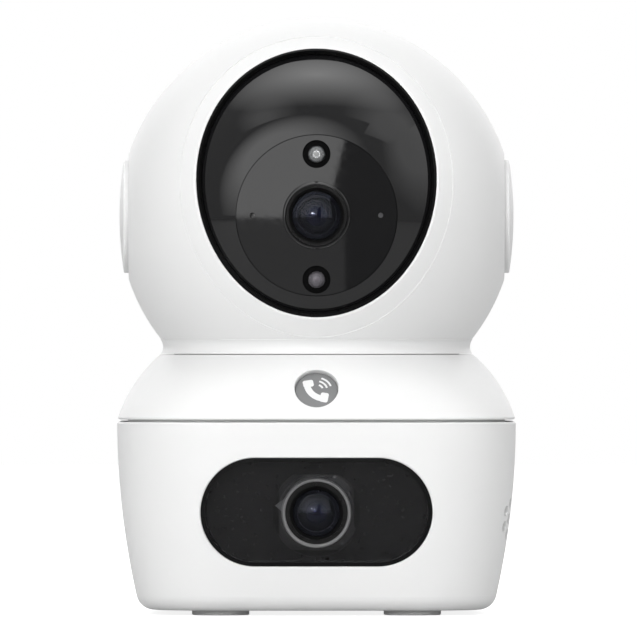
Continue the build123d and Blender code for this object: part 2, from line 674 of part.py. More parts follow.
# ---- head ---------------------------------------------------------------------------------
GEAR_LOW_Z = 31.2
GEAR_TOP_Z = 35.2
WELL_X = 30.5
WELL_DZ = 20.0
YOKE_ARMS = ((-30.7, -28.2), (28.2, 30.7))
YOKE_X = 30.7
TRUNNION_R = 4.0
BUSH_R = 5.5
TILT_EAR_DY = 11.0
RAIL_BOSS_X = 20.0
RAIL_BOSS_DZ = 12.25
TONGUE_R = 39.0             # outside of the rear shell's rib that fits into the front shell
LIP_BAND = 3.1              # shallow band around the window
LIP_DEPTH = 0.15
LIP_FILLET = 0.5


def neck_skirt():
    """Ring that joins the ball to the rim, with a hollow curve around the neck."""
    centre_r = NECK_R + NECK_FILLET
    # the hollow curve touches the ball where both centres and the point are in line
    dz = HEAD_Z - NECK_Z
    meet = asin(dz / sqrt(centre_r ** 2 + dz ** 2))
    top = (HEAD_R * cos(meet), 0, HEAD_Z - HEAD_R * sin(meet))
    drop = NECK_Z - SKIRT_Z
    foot_r = centre_r - sqrt(NECK_FILLET ** 2 - drop ** 2)
    ball_r = sqrt(HEAD_R ** 2 - (HEAD_Z - SKIRT_Z) ** 2)
    touch = (centre_r - NECK_FILLET * cos(meet), 0, NECK_Z + NECK_FILLET * sin(meet))
    outline = [
        Line((ball_r - 1.0, 0, SKIRT_Z), (foot_r, 0, SKIRT_Z)),
        ThreePointArc((foot_r, 0, SKIRT_Z), (NECK_R, 0, NECK_Z), touch),
        Line(touch, (top[0] - 1.5, 0, top[2] + 0.8)),
        Line((top[0] - 1.5, 0, top[2] + 0.8), (ball_r - 1.0, 0, SKIRT_Z)),
    ]
    return revolve(Face(Wire(outline)), Axis.Z)


def head_form():
    """The whole hollow ball with its flats, ear recesses and window, before it is split."""
    flats = block(-EAR_FLAT_X, EAR_FLAT_X, -50, 50, 30, 130)
    inner_flats = block(-EAR_FLAT_X + HEAD_WALL, EAR_FLAT_X - HEAD_WALL, -50, 50, 30, 130)
    outer = (ball(HEAD_R) & flats) + neck_skirt()
    form = outer - (ball(HEAD_R - HEAD_WALL) & inner_flats)
    form -= ball(SWEEP_R) & block(-SWEEP_HALF_X, SWEEP_HALF_X, -50, SWEEP_BACK_Y, 30, 130)
    for side in (-1, 1):
        x0, x1 = sorted((side * EAR_SEAT_X, side * 45))
        form -= cyl_x(EAR_CAP_R + 0.4, x0, x1, 0, HEAD_Z)
    band = window_cone(LIP_BAND) - ball(HEAD_R - LIP_DEPTH)
    return form - band - window_cone()


def head_shells():
    form = head_form()
    wells, well_holes, bosses, boss_holes = [], [], [], []
    for x in (-WELL_X, WELL_X):
        for dz in (-WELL_DZ, WELL_DZ):
            wells.append(cyl_y(2.9, 0.1, 18, x, HEAD_Z + dz))
            well_holes += [cyl_y(2.1, 3.0, 22, x, HEAD_Z + dz), cyl_y(1.1, -1, 4, x, HEAD_Z + dz)]
            bosses.append(cyl_y(2.9, -8.0, -0.1, x, HEAD_Z + dz))
            boss_holes.append(cyl_y(0.9, -6.5, 1, x, HEAD_Z + dz))
    for x in (-RAIL_BOSS_X, RAIL_BOSS_X):
        for dz in (-RAIL_BOSS_DZ, RAIL_BOSS_DZ):
            wells.append(cyl_y(2.5, 16.0, 34, x, HEAD_Z + dz))
            well_holes.append(cyl_y(0.9, 15, 24, x, HEAD_Z + dz))
    solid_ball = ball(HEAD_R - 0.4)

    rear = form & block(-50, 50, 0.1, 50, 30, 130)
    tongue = (ball(TONGUE_R) - ball(HEAD_R - HEAD_WALL)) & block(-36, 36, -1.6, 0.1, 30, 130)
    tongue -= block(-SWEEP_HALF_X - 0.4, SWEEP_HALF_X + 0.4, -3, 1, 30, 130)
    pocket = ball(TONGUE_R + 0.1) - ball(HEAD_R - HEAD_WALL - 0.1)
    pocket = pocket & block(-36.1, 36.1, -1.8, 0.1, 30, 130)
    pocket -= block(-SWEEP_HALF_X - 0.3, SWEEP_HALF_X + 0.3, -3, 1, 30, 130)
    hub = cyl_z(HUB_R, HUB_LOW_Z, 42.5) + cyl_z(HUB_COLLAR_R, BEARING_TOP_Z + 0.1, 42.5)
    hub -= ball(SWEEP_R)
    rear = rear + (union(wells) & solid_ball) + tongue + hub
    rear = rear - union(well_holes) - cyl_z(HUB_BORE_R, 30, 43)
    for x, y in hub_screw_places():
        rear = rear - cyl_z(SMALL_SCREW[2], 32, GEAR_LOW_Z + 4.6, x, y)
    save("head_rear_shell", rear)

    front = (form & block(-50, 50, -50, -0.1, 30, 130)) + (union(bosses) & solid_ball)
    front = front - pocket - union(boss_holes) - cyl_z(HUB_COLLAR_R + 0.1, 30, 44)
    rims = [edge for edge in front.edges() if on_ball(edge, HEAD_R - LIP_DEPTH)]
    window_rim = sorted(rims, key=lambda edge: edge.length)[-2]
    save("head_front_shell", fillet(window_rim, LIP_FILLET))


def on_ball(edge, radius):
    """True when the whole edge lies on a ball of this radius about the head's centre."""
    centre = Vector(0, 0, HEAD_Z)
    points = [edge.position_at(t) for t in (0, 0.25, 0.5, 0.75)]
    return all(abs((point - centre).length - radius) < TOLERANCE for point in points)


def head_screws():
    """Four screws that join the shells, and four that hold the yoke to the rear shell."""
    screws = []
    for dz in (-1, 1):
        for side in (-1, 1):
            screws.append(screw_y(side * WELL_X, HEAD_Z + dz * WELL_DZ, 3.0, 9.0, 1))
            screws.append(screw_y(side * RAIL_BOSS_X, HEAD_Z + dz * RAIL_BOSS_DZ, 12.0, 9.0, -1))
    return union(screws)


def window_trim():
    layer = ball(HEAD_R - 0.4) - ball(SWEEP_R)
    return (window_cone() - window_cone(-TRIM_WALL)) & layer


def ear_cap(side):
    """Domed disc over one end of the tilt axis; side is -1 for the left and 1 for the right."""
    rim, top = 1.8, 2.7
    dome_r = (EAR_CAP_R ** 2 + (top - rim) ** 2) / (2 * (top - rim))
    middle = top - dome_r + sqrt(dome_r ** 2 - (EAR_CAP_R / 2) ** 2)
    outline = [
        Line((0, 0, 0), (EAR_CAP_R, 0, 0)),
        Line((EAR_CAP_R, 0, 0), (EAR_CAP_R, 0, rim)),
        ThreePointArc((EAR_CAP_R, 0, rim), (EAR_CAP_R / 2, 0, middle), (0, 0, top)),
        Line((0, 0, top), (0, 0, 0)),
    ]
    profile = Face(Wire(outline))
    corner = profile.vertices().sort_by(Axis.X)[-2:].sort_by(Axis.Z)[-1]
    profile = profile.fillet_2d(RIM_FILLET, [corner])
    cap = revolve(profile, Axis.Z)
    return Pos(side * EAR_SEAT_X, 0, HEAD_Z) * Rot(0, 90 * side, 0) * cap


def head_frame():
    """Yoke that carries the eye's trunnions and the tilt motor, screwed to the rear shell."""
    def plate(points, x0, x1):
        face = Face(Wire.make_polygon([Vector(0, y, HEAD_Z + z) for y, z in points], close=True))
        return Pos(x0, 0, 0) * extrude(face, x1 - x0, dir=(1, 0, 0))

    arm = [(0, 8), (12, 14), (16, 14), (16, -14), (12, -14), (0, -8)]
    frame = block(-YOKE_X, YOKE_X, 12, 16, HEAD_Z + 10.5, HEAD_Z + 14)
    frame += block(-YOKE_X, YOKE_X, 12, 16, HEAD_Z - 14, HEAD_Z - 10.5)
    for x0, x1 in YOKE_ARMS:
        frame += plate(arm, x0, x1) + cyl_x(8.0, x0, x1, 0, HEAD_Z)
        frame -= cyl_x(BUSH_R, x0 - 1, x1 + 1, 0, HEAD_Z)
    bracket = block(-22.4, -21.0, 2.0, 29.5, HEAD_Z - 4.5, HEAD_Z + 4.5)
    bracket += block(-22.4, -21.0, 12, 16, HEAD_Z - 14, HEAD_Z + 14)
    frame += bracket
    frame -= cyl_x(4.0, -23, -20, TILT_AXIS_GAP, HEAD_Z)
    for dy in (-TILT_EAR_DY, TILT_EAR_DY):
        frame -= cyl_x(0.7, -24, -20, TILT_AXIS_GAP + dy, HEAD_Z)
    for x in (-RAIL_BOSS_X, RAIL_BOSS_X):
        for dz in (-RAIL_BOSS_DZ, RAIL_BOSS_DZ):
            frame -= cyl_y(1.1, 11, 17, x, HEAD_Z + dz)
    return frame


def tilt_drive_parts():
    bushes = []
    for x0, x1 in YOKE_ARMS:
        bore = cyl_x(TRUNNION_R + 0.05, x0 - 1, x1 + 1, 0, HEAD_Z)
        bushes.append(cyl_x(BUSH_R, x0, x1, 0, HEAD_Z) - bore)
    save("tilt_bushes", union(bushes))
    y = TILT_AXIS_GAP
    motor = cyl_x(9.0, -20.2, -7.0, y, HEAD_Z) + cyl_x(4.0, -21.4, -20.2, y, HEAD_Z)
    motor += cyl_x(SHAFT_R, -27.9, -21.4, y, HEAD_Z)
    motor += block(-21.0, -20.2, y - TILT_EAR_DY, y + TILT_EAR_DY, HEAD_Z - 3.2, HEAD_Z + 3.2)
    for dy in (-TILT_EAR_DY, TILT_EAR_DY):
        motor += cyl_x(3.2, -21.0, -20.2, y + dy, HEAD_Z)
        motor -= cyl_x(0.9, -22, -19, y + dy, HEAD_Z)
    motor += block(-17, -10, y + 8, y + 10.5, HEAD_Z - 4, HEAD_Z + 4)
    save("tilt_motor", motor)
    pinion = Rot(0, 90, 0) * Rot(0, 0, 90) * gear(PINION_TEETH, TILT_GEAR_WIDTH, PINION_BORE_R, 0.0)
    save("tilt_pinion", Pos(-27.8, y, HEAD_Z) * pinion)


def pan_gear_parts():
    wheel = Pos(0, 0, GEAR_LOW_Z) * gear(PAN_GEAR_TEETH, GEAR_TOP_Z - GEAR_LOW_Z, HUB_BORE_R)
    wheel -= cyl_z(HUB_R, HUB_LOW_Z, 40)
    ring = cyl_z(18.0, 30, GEAR_LOW_Z + 1.2) - cyl_z(10.0, 29, 40)
    wheel -= ring
    wheel -= cyl_z(17.0, GEAR_TOP_Z - 1.2, 40) - cyl_z(10.0, 29, 45)
    for x, y in hub_screw_places():
        wheel -= cyl_z(0.8, 30, 34, x, y)
    save("pan_gear", wheel)


def hub_screw_places():
    """The three screws that hold the pan gear under the hub, as (x, y)."""
    angles = [radians(90 + 120 * index) for index in range(3)]
    return [(6.5 * cos(angle), 6.5 * sin(angle)) for angle in angles]


def drive_screws():
    """Small screws of the pan gear, from below, and of the tilt motor, from its side."""
    screws = [screw_z(x, y, GEAR_LOW_Z, 4.2, *SMALL_SCREW) for x, y in hub_screw_places()]
    for dy in (-TILT_EAR_DY, TILT_EAR_DY):
        screw = Rot(0, -90, 0) * screw_z(0, 0, 0, 2.1, *SMALL_SCREW)
        screws.append(Pos(-20.2, TILT_AXIS_GAP + dy, HEAD_Z) * screw)
    return union(screws)


# ---- eye ----------------------------------------------------------------------------------
FACE_Y = -sqrt(EYE_R ** 2 - FACE_R ** 2)
WHITE_LED_Z = 12.25         # above the lens's axis
INFRARED_LED_Z = -12.85
SENSOR_DX = 12.8
LED_HOLE_R = 2.8
LED_BASE_R = 2.2
LED_TIP_R = 1.6
UPPER_FRONT_Y = FACE_Y - 0.5
LED_BOARD_Y = -30.5         # back face of the light board
CAMERA_BOARD_Y = -17.8      # back face of the camera board
LIGHT_PILLAR = 9.55         # the pillars stand this far out along X and along Z
CAMERA_PILLAR = 12.5


def pillar_places(offset):
    return [(x, z) for x in (-offset, offset) for z in (-offset, offset)]


def eye_dome():
    shell = (ball(EYE_R) - ball(EYE_R - EYE_WALL)) & front_wedge(EYE_SPAN, EYE_HALF_X)
    ledge = cyl_y(17.2, FACE_Y + 1.2, FACE_Y + 2.4, 0, HEAD_Z)
    dome = shell + (ledge & ball(EYE_R - 0.3))
    dome -= cyl_y(FACE_R, -45, FACE_Y + 1.2, 0, HEAD_Z)
    return dome - cyl_y(15.2, -45, -30, 0, HEAD_Z)


def face_panel():
    panel = cyl_y(FACE_R - 0.05, FACE_Y, FACE_Y + 1.2)
    panel = chamfer(panel.edges().filter_by(GeomType.CIRCLE).group_by(Axis.Y)[0], 0.12)
    panel -= cyl_y(6.75, -36, -32)
    for dz in (WHITE_LED_Z, INFRARED_LED_Z):
        panel -= cyl_y(LED_HOLE_R, -36, -32, 0, dz)
    panel -= cyl_y(0.55, -36, -32, -SENSOR_DX, 0) + cyl_y(0.55, -36, -32, SENSOR_DX, 0)
    return Pos(0, 0, HEAD_Z) * panel


def eye_frame():
    """Side plates with trunnions, joined by a front plate that carries lens and lights."""
    plates = cyl_x(26.0, -25.2, 25.2, 0, HEAD_Z) - cyl_x(30.0, -23.4, 23.4, 0, HEAD_Z)
    plates = plates & front_wedge(70, 30)
    for side in (-1, 1):
        plates += cyl_x(9.0, *sorted((side * 23.4, side * 25.2)), 0, HEAD_Z)
        plates += cyl_x(TRUNNION_R, *sorted((side * 25.2, side * 31.2)), 0, HEAD_Z)
    front = cyl_y(26.2, -26, -24, 0, HEAD_Z) & ball(EYE_R - EYE_WALL - 0.1)
    front = front & block(-23.5, 23.5, -30, -20, 50, 110)
    frame = plates + front - cyl_y(8.0, -30, -20, 0, HEAD_Z)
    for x, z in pillar_places(LIGHT_PILLAR):
        frame += cyl_y(1.8, LED_BOARD_Y, -25.9, x, HEAD_Z + z)
        frame -= cyl_y(0.7, LED_BOARD_Y - 1, -26.9, x, HEAD_Z + z)
    for x, z in pillar_places(CAMERA_PILLAR):
        frame += cyl_y(1.8, -24.1, -19.0, x, HEAD_Z + z)
        frame -= cyl_y(0.7, -23.0, -18.0, x, HEAD_Z + z)
    return frame


def light_board():
    board = cyl_y(15.0, LED_BOARD_Y - 1.0, LED_BOARD_Y) - cyl_y(7.9, -33, -29)
    for x, z in pillar_places(LIGHT_PILLAR):
        board -= cyl_y(0.9, -33, -29, x, z)
    return Pos(0, 0, HEAD_Z) * board


def eye_screws():
    """Small screws of the camera board, from behind, and of the light board, from in front."""
    screws = [screw_y(x, z, CAMERA_BOARD_Y, 4.2, 1, *SMALL_SCREW) for x, z in pillar_places(CAMERA_PILLAR)]
    for x, z in pillar_places(LIGHT_PILLAR):
        screws.append(screw_y(x, z, LED_BOARD_Y - 1.0, 4.2, -1, 1.2, 0.7, 0.7))
    return Pos(0, 0, HEAD_Z) * union(screws)


def led(z):
    """Round lamp: a base on the board, a body in the panel's hole and a domed tip."""
    back = LED_BOARD_Y - 1.0
    body = cyl_y(LED_BASE_R, FACE_Y + 1.0, back, 0, z) + cyl_y(LED_TIP_R, FACE_Y + 0.5, back, 0, z)
    tip = Pos(0, FACE_Y + 1.1, z) * Sphere(LED_TIP_R)
    return Pos(0, 0, HEAD_Z) * (body + (tip & cyl_y(LED_TIP_R, FACE_Y - 1.0, FACE_Y + 1.1, 0, z)))


def eye_parts():
    save("eye_dome", eye_dome())
    save("face_panel", face_panel())
    save("eye_frame", eye_frame())
    wheel = gear(TILT_GEAR_TEETH, TILT_GEAR_WIDTH, TRUNNION_R, 180.0 / TILT_GEAR_TEETH)
    save("tilt_gear", Pos(-27.6, 0, HEAD_Z) * Rot(0, 90, 0) * Rot(0, 0, 90) * wheel)
    place = Pos(0, 0, HEAD_Z)
    save("upper_lens_holder", place * lens_holder(-29.0, -24.0, -19.0))
    save("upper_lens_ring", place * lens_ring(UPPER_FRONT_Y, -32.9, 6.7, 6.1))
    save("upper_lens_barrel", place * lens_barrel(UPPER_FRONT_Y + 0.15, -23.0, 6.1, 5.2))
    save("upper_lens_glass", place * lens_glass(UPPER_FRONT_Y + 0.5, 5.1))
    board = board_y(15, 15, CAMERA_BOARD_Y, CAMERA_PILLAR, CAMERA_PILLAR)
    save("upper_camera_board", place * board)
    save("upper_image_sensor", place * image_sensor(CAMERA_BOARD_Y - BOARD_THICKNESS))
    save("light_board", light_board())
    save("eye_screws", eye_screws())
    save("white_led", led(WHITE_LED_Z))
    save("infrared_led", led(INFRARED_LED_Z))
    back = LED_BOARD_Y - 1.0
    save("light_sensor", place * (cyl_y(0.5, FACE_Y + 0.1, back - 0.5, SENSOR_DX, 0)
                                  + block(SENSOR_DX - 1, SENSOR_DX + 1, back - 0.9, back, -1, 1)))
    mic = block(-SENSOR_DX - 1.6, -SENSOR_DX + 1.6, back - 1.0, back, -1.3, 1.3)
    save("microphone", place * (mic - cyl_y(0.3, -35, back - 0.6, -SENSOR_DX, 0)))


# ---- build and write ----------------------------------------------------------------------
def main():
    base_parts()
    lower_camera_parts()
    electronics_parts()
    save("board_screws", board_screws())
    call_button_parts()
    save("reset_button", reset_button())
    pan_drive_parts()
    head_shells()
    save("head_screws", head_screws())
    save("window_trim", window_trim())
    save("left_ear_cap", ear_cap(-1))
    save("right_ear_cap", ear_cap(1))
    save("head_frame", head_frame())
    tilt_drive_parts()
    pan_gear_parts()
    save("drive_screws", drive_screws())
    eye_parts()
    os.makedirs("parts", exist_ok=True)
    for name, shape in parts.items():
        export_step(shape, f"parts/{name}.step")


main()
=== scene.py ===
"""Two-lens pan-and-tilt home camera: finished materials, lens and lamp details, studio and camera."""
import json
import math

import bmesh
import bpy
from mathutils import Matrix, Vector


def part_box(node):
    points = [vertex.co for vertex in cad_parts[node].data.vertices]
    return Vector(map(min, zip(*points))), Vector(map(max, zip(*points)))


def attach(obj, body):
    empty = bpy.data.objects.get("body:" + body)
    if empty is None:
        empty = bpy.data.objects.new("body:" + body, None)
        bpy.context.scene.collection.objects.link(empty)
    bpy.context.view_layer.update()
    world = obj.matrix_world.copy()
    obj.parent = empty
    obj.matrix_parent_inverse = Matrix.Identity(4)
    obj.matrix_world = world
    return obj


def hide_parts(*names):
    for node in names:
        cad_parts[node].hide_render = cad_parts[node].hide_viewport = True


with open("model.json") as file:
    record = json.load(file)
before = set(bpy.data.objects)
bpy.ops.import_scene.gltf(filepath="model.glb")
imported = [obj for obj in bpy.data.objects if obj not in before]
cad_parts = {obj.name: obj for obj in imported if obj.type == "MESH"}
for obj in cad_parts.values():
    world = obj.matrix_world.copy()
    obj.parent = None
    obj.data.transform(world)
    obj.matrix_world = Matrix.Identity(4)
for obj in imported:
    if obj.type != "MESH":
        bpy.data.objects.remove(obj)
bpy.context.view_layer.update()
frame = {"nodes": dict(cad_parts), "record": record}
nodes = frame["nodes"]
slot_of = {part["node"]: part["material_slot"] for part in frame["record"]["subparts"]}
MM = 0.001


# ---- node helpers -------------------------------------------------------------------------
class Paint:
    """A procedural material round one Principled shader, with sizes in metres."""

    def __init__(self, name, **sockets):
        self.material = bpy.data.materials.new(name)
        self.material.use_nodes = True
        self.tree = self.material.node_tree
        self.shader = self.tree.nodes["Principled BSDF"]
        self.end = self.tree.nodes["Material Output"]
        self.place = self.node("ShaderNodeTexCoord").outputs["Object"]
        self.normal = None
        for socket, value in sockets.items():
            self.shader.inputs[socket.replace("_", " ")].default_value = value

    def link(self, source, target):
        self.tree.links.new(source, target)

    def node(self, kind, values=None, **settings):
        """Adds a node. values gives its inputs by name or number: a number, or a socket to link."""
        made = self.tree.nodes.new(kind)
        for key, value in settings.items():
            setattr(made, key, value)
        for key, value in (values or {}).items():
            if isinstance(value, bpy.types.NodeSocket):
                self.link(value, made.inputs[key])
            else:
                made.inputs[key].default_value = value
        return made

    def stretched(self, scale):
        """Object coordinates scaled by a factor for each axis."""
        return self.node("ShaderNodeMapping", {"Vector": self.place, "Scale": scale}).outputs["Vector"]

    def noise(self, size, detail=2.0, place=None):
        values = {"Vector": place or self.place, "Scale": 1.0 / size, "Detail": detail}
        return self.node("ShaderNodeTexNoise", values).outputs["Fac"]

    def spread(self, source, low, high, start=0.3, stop=0.7):
        """Maps a pattern's start..stop to low..high."""
        values = {"Value": source, "From Min": start, "From Max": stop, "To Min": low, "To Max": high}
        return self.node("ShaderNodeMapRange", values).outputs["Result"]

    def math(self, operation, first, second=0.0):
        return self.node("ShaderNodeMath", {0: first, 1: second}, operation=operation).outputs[0]

    def blend(self, factor, first, second):
        """A mix of two colours, each three numbers or a socket."""
        first, second = [c if isinstance(c, bpy.types.NodeSocket) else (*c, 1.0) for c in (first, second)]
        values = {"Factor": factor, 6: first, 7: second}
        return self.node("ShaderNodeMix", values, data_type="RGBA").outputs[2]

    def colour(self, source):
        self.link(source, self.shader.inputs["Base Color"])

    def rough(self, source, low, high):
        self.link(self.spread(source, low, high), self.shader.inputs["Roughness"])

    def bump(self, height, depth):
        """Adds relief of a depth in metres on top of any relief before it."""
        values = {"Height": height, "Distance": depth}
        if self.normal:
            values["Normal"] = self.normal
        self.normal = self.node("ShaderNodeBump", values).outputs["Normal"]
        self.link(self.normal, self.shader.inputs["Normal"])

    def see_through(self, light, dark, gloss, ior, gloss_colour=(1, 1, 1)):
        """Replaces the shader by clear glass: a slightly uneven tint under a mirror skin."""
        tinted = self.blend(self.noise(4 * MM), dark, light)
        clear = self.node("ShaderNodeBsdfTransparent", {"Color": tinted})
        roughness = self.spread(self.noise(1.5 * MM), *gloss)
        values = {"Color": (*gloss_colour, 1.0), "Roughness": roughness}
        mirror = self.node("ShaderNodeBsdfGlossy", values)
        share = self.node("ShaderNodeFresnel", {"IOR": ior})
        self.mix_shaders(share.outputs[0], clear, mirror)

    def mix_shaders(self, share, first, second):
        """Sends a mix of two shader nodes to the surface."""
        values = {0: share, 1: first.outputs[0], 2: second.outputs[0]}
        mix = self.node("ShaderNodeMixShader", values)
        self.link(mix.outputs[0], self.end.inputs["Surface"])


def moulded(name, dark, light, rough, grain, depth, **sockets):
    """Moulded plastic: slight tone variation, patchy gloss and a fine eroded texture.

    rough is its range of roughness, and grain and depth are the texture's size and relief.
    """
    paint = Paint(name, **sockets)
    paint.colour(paint.blend(paint.noise(14 * MM), dark, light))
    paint.rough(paint.noise(1.2 * MM, 4.0), *rough)
    paint.bump(paint.noise(5 * MM, 1.0), 4 * depth)
    paint.bump(paint.noise(grain, 3.0), depth)
    return paint


def metal(name, dark, light, rough, along):
    """Turned or drawn metal with fine lines, squeezed along each axis by its factor in along."""
    paint = Paint(name, Metallic=1.0)
    lines = paint.noise(0.3 * MM, 4.0, paint.stretched(along))
    paint.colour(paint.blend(lines, dark, light))
    paint.rough(lines, *rough)
    paint.bump(lines, 0.004 * MM)
    return paint


def board_paint(name, dark, light, track, pad):
    """Solder mask over copper tracks, with plated vias."""
    paint = Paint(name, Coat_Weight=0.2, Coat_Roughness=0.2)
    turned = paint.node("ShaderNodeMapping", {"Vector": paint.place, "Rotation": (math.pi / 2, 0.0, 0.0)})
    rows = {"Scale": 700.0, "Mortar Size": 0.035, "Brick Width": 1.7, "Row Height": 0.55}
    tracks = []
    for place in (paint.place, turned.outputs["Vector"]):
        bricks = paint.node("ShaderNodeTexBrick", {"Vector": place, **rows})
        tracks.append(bricks.outputs["Fac"])
    tracks = paint.math("MAXIMUM", *tracks)
    cells = paint.node("ShaderNodeTexVoronoi", {"Vector": paint.place, "Scale": 420.0})
    pads = paint.spread(cells.outputs["Distance"], 1.0, 0.0, 0.16, 0.2)
    mask = paint.blend(paint.noise(6 * MM), dark, light)
    paint.colour(paint.blend(pads, paint.blend(tracks, mask, track), pad))
    paint.link(pads, paint.shader.inputs["Metallic"])
    paint.rough(paint.noise(0.8 * MM), 0.28, 0.42)
    paint.bump(tracks, 0.02 * MM)
    return paint


def sensor_paint():
    """Silicon image sensor under glass: a fine grid with a shifting tint, in a dark frame."""
    paint = Paint("sensor_silicon", Roughness=0.12, Coat_Weight=1.0, Coat_Roughness=0.03)
    grid = paint.node("ShaderNodeTexChecker", {"Vector": paint.place, "Scale": 9000.0}).outputs["Fac"]
    tint = paint.blend(paint.noise(2.5 * MM), (0.05, 0.10, 0.13), (0.13, 0.06, 0.12))
    paint.colour(paint.blend(grid, tint, (0.03, 0.05, 0.06)))
    paint.bump(grid, 0.002 * MM)
    return paint


def rubber_paint():
    """Matt rubber with fine specks."""
    paint = Paint("rubber_feet_grey")
    specks = paint.noise(0.35 * MM, 5.0)
    paint.colour(paint.blend(specks, (0.52, 0.52, 0.52), (0.60, 0.60, 0.595)))
    paint.rough(specks, 0.65, 0.85)
    paint.bump(specks, 0.02 * MM)
    return paint


def resin_paint(name, body, clear, milky):
    """Cast resin of a lamp: clear, with a range of milkiness, under a glossy skin."""
    paint = Paint(name, Base_Color=(*body, 1.0), IOR=1.53)
    haze = paint.noise(1.0 * MM, 3.0)
    paint.rough(haze, 0.05, 0.12)
    clear = paint.node("ShaderNodeBsdfTransparent", {"Color": (*clear, 1.0)})
    milky = paint.spread(haze, *milky)
    share = paint.math("ADD", milky, paint.node("ShaderNodeFresnel", {"IOR": 1.5}).outputs[0])
    paint.mix_shaders(share, clear, paint.shader)
    return paint


smoked = Paint("smoked_window")
smoked.see_through((0.80, 0.80, 0.81), (0.77, 0.77, 0.78), (0.01, 0.02), 1.23)
front_glass = Paint("coated_front_glass")
front_glass.see_through((0.86, 0.87, 0.92), (0.82, 0.83, 0.89), (0.0, 0.01), 1.22, (0.86, 0.90, 1.0))
rear_glass = Paint("coated_inner_glass")
rear_glass.see_through((0.26, 0.25, 0.42), (0.18, 0.18, 0.34), (0.0, 0.01), 1.25, (0.55, 0.60, 1.0))

WHITE = ((0.685, 0.688, 0.688), (0.705, 0.706, 0.704))
PIANO = ((0.0035, 0.0035, 0.0040), (0.0055, 0.0055, 0.0058))
MATT = ((0.010, 0.010, 0.011), (0.016, 0.016, 0.017))
SILVER = ((0.145, 0.148, 0.150), (0.185, 0.188, 0.190))
paints = {
    "white_plastic": moulded("white_satin_plastic", *WHITE, (0.34, 0.42), 0.22 * MM, 0.002 * MM,
                             IOR=1.46),
    "black_gloss_plastic": moulded("black_gloss_plastic", *PIANO, (0.008, 0.025), 0.5 * MM, 0.00005 * MM),
    "black_plastic": moulded("black_matt_plastic", *MATT, (0.42, 0.58), 0.15 * MM, 0.006 * MM,
                             Specular_IOR_Level=0.25),
    "grey_plastic": moulded("silver_grey_plastic", *SILVER, (0.28, 0.40), 0.18 * MM, 0.003 * MM),
    "smoked_glass": smoked,
    "lens_glass": front_glass,
    "clear_resin": resin_paint("clear_resin_cast", (0.60, 0.62, 0.64), (0.86, 0.87, 0.88), (0.10, 0.18)),
    "brass": metal("brass_turned", (0.66, 0.46, 0.19), (0.80, 0.60, 0.30), (0.22, 0.38), (1, 1, 12)),
    "rubber": rubber_paint(),
    "steel": metal("steel_drawn", (0.48, 0.48, 0.49), (0.64, 0.64, 0.65), (0.22, 0.40), (1, 6, 1)),
    "circuit_board": board_paint("green_board", (0.008, 0.055, 0.026), (0.012, 0.075, 0.035),
                                 (0.03, 0.16, 0.07), (0.55, 0.55, 0.5)),
    "chip_plastic": moulded("chip_resin", (0.016, 0.016, 0.017), (0.024, 0.024, 0.025), (0.5, 0.7),
                            0.12 * MM, 0.01 * MM),
    "sensor": sensor_paint(),
    "white_nylon": moulded("natural_nylon", (0.66, 0.65, 0.60), (0.74, 0.73, 0.69), (0.40, 0.55),
                           0.25 * MM, 0.008 * MM, Subsurface_Weight=0.05),
}
deep_black = moulded("deep_black_plastic", (0.0015, 0.0015, 0.0016), (0.0030, 0.0030, 0.0031),
                     (0.25, 0.40), 0.15 * MM, 0.002 * MM, Specular_IOR_Level=0.10)
dark_can = metal("microphone_can", (0.03, 0.03, 0.03), (0.06, 0.06, 0.06), (0.25, 0.40), (1, 1, 6))
black_board = moulded("black_solder_mask", (0.004, 0.004, 0.004), (0.006, 0.006, 0.006), (0.35, 0.50),
                      0.3 * MM, 0.004 * MM, Specular_IOR_Level=0.2)
ring_grey = moulded("lens_ring_grey", (0.110, 0.110, 0.111), (0.135, 0.135, 0.136), (0.28, 0.40),
                    0.18 * MM, 0.003 * MM)
dark_resin = moulded("light_sensor_resin", (0.03, 0.03, 0.033), (0.055, 0.055, 0.058), (0.10, 0.20),
                     0.2 * MM, 0.001 * MM)
dark_grey = moulded("dark_grey_plastic", (0.012, 0.012, 0.012), (0.018, 0.018, 0.018), (0.35, 0.50),
                    0.15 * MM, 0.005 * MM)
dark_lamp = resin_paint("dark_resin_cast", (0.20, 0.19, 0.21), (0.60, 0.58, 0.64), (0.35, 0.50))
own_paint = {
    "infrared_led": dark_lamp,
    "upper_lens_barrel": deep_black,
    "lower_lens_barrel": deep_black,
    "lower_lens_ring": ring_grey,
    "lower_lens_holder": dark_grey,
    "window_trim": deep_black,
    "lower_window_frame": deep_black,
    "microphone": dark_can,
    "light_sensor": dark_resin,
    "lower_camera_board": black_board,
    "upper_camera_board": black_board,
    "light_board": black_board,
}
for name, thing in nodes.items():
    thing.material_slots[0].material = own_paint.get(name, paints[slot_of[name]]).material


# ---- turned pieces ------------------------------------------------------------------------
SMOOTH_ANGLE = math.radians(35.0)
ON_AXIS = 1e-6               # a radius in mm below which a profile's point is on the axis


